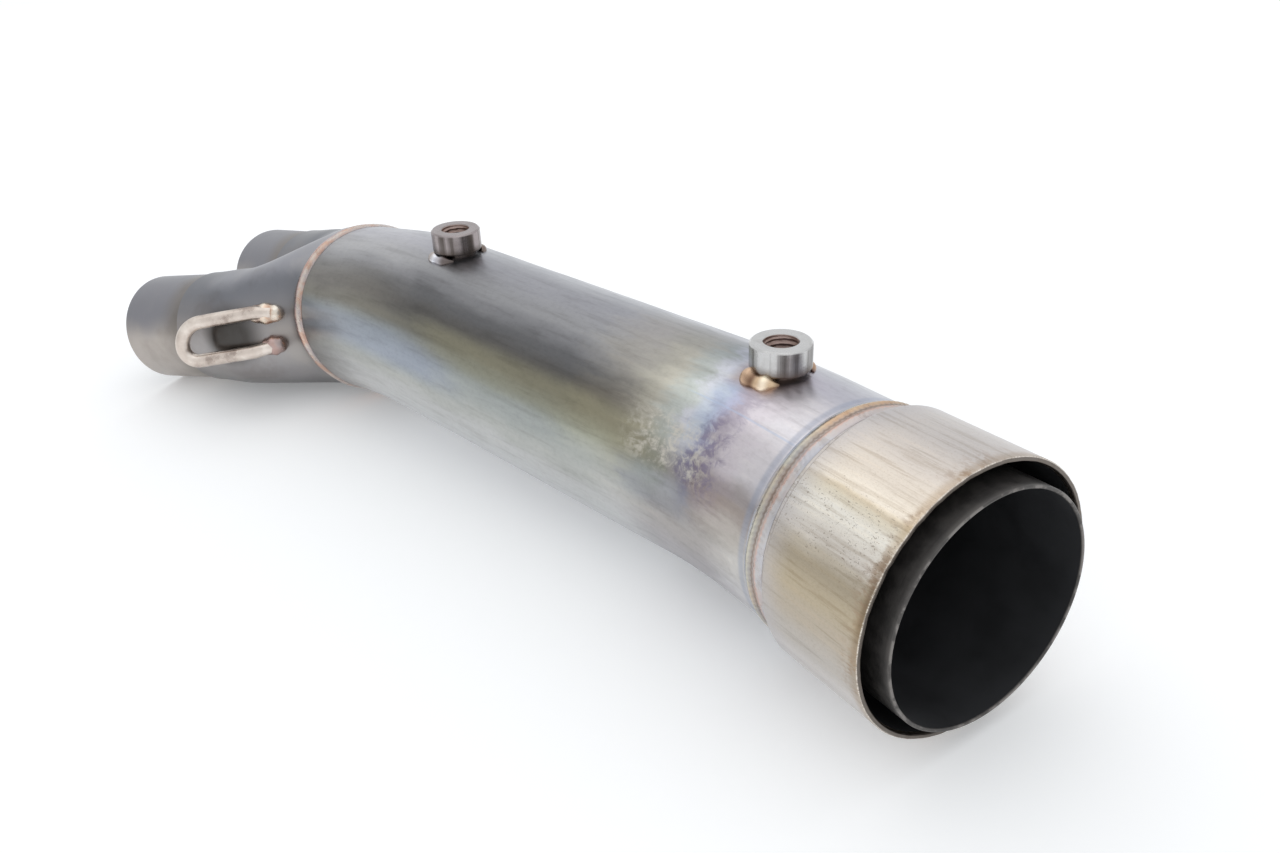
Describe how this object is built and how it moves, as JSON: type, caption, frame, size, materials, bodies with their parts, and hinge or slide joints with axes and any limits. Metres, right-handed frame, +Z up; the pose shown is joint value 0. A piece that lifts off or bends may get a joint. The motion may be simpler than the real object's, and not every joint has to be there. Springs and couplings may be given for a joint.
{
  "type": "exhaust header pipe",
  "caption": "Exhaust header pipe: twin inlets merge in a hollow collector into one bent tube with a necked outlet socket, inner sleeve, threaded bosses and spring hooks.",
  "frame": {"origin": "under the middle of the part, at the height of the surface that it lies on", "axes": "+X from the outlet socket towards the inlets, +Y towards the near inlet, +Z up as the part lies"},
  "size_m": [0.3328, 0.0998, 0.0676],
  "materials": {
    "main_tube": "heat-tinted, brushed",
    "collector_shell": "heat-tinted",
    "inlet_stubs": "brushed",
    "outlet_socket": "heat-tinted, brushed",
    "inner_sleeve": "sooted",
    "weld_beads": "rippled bead",
    "bosses": "turned",
    "hooks": "drawn rod, heat-tinted"
  },
  "bodies": {
    "root": {"main_tube": "main_tube", "collector_shell": "collector_shell", "near_inlet": "inlet_stubs", "far_inlet": "inlet_stubs", "outlet_socket": "outlet_socket", "inner_sleeve": "inner_sleeve", "socket_weld": "weld_beads", "collector_weld": "weld_beads", "front_boss": "bosses", "rear_boss": "bosses", "near_hook": "hooks", "far_hook": "hooks", "front_boss_weld_near": "weld_beads", "front_boss_weld_far": "weld_beads", "rear_boss_weld_near": "weld_beads", "rear_boss_weld_far": "weld_beads", "near_hook_weld_upper": "weld_beads", "near_hook_weld_lower": "weld_beads", "far_hook_weld_upper": "weld_beads", "far_hook_weld_lower": "weld_beads"}
  },
  "joints": []
}
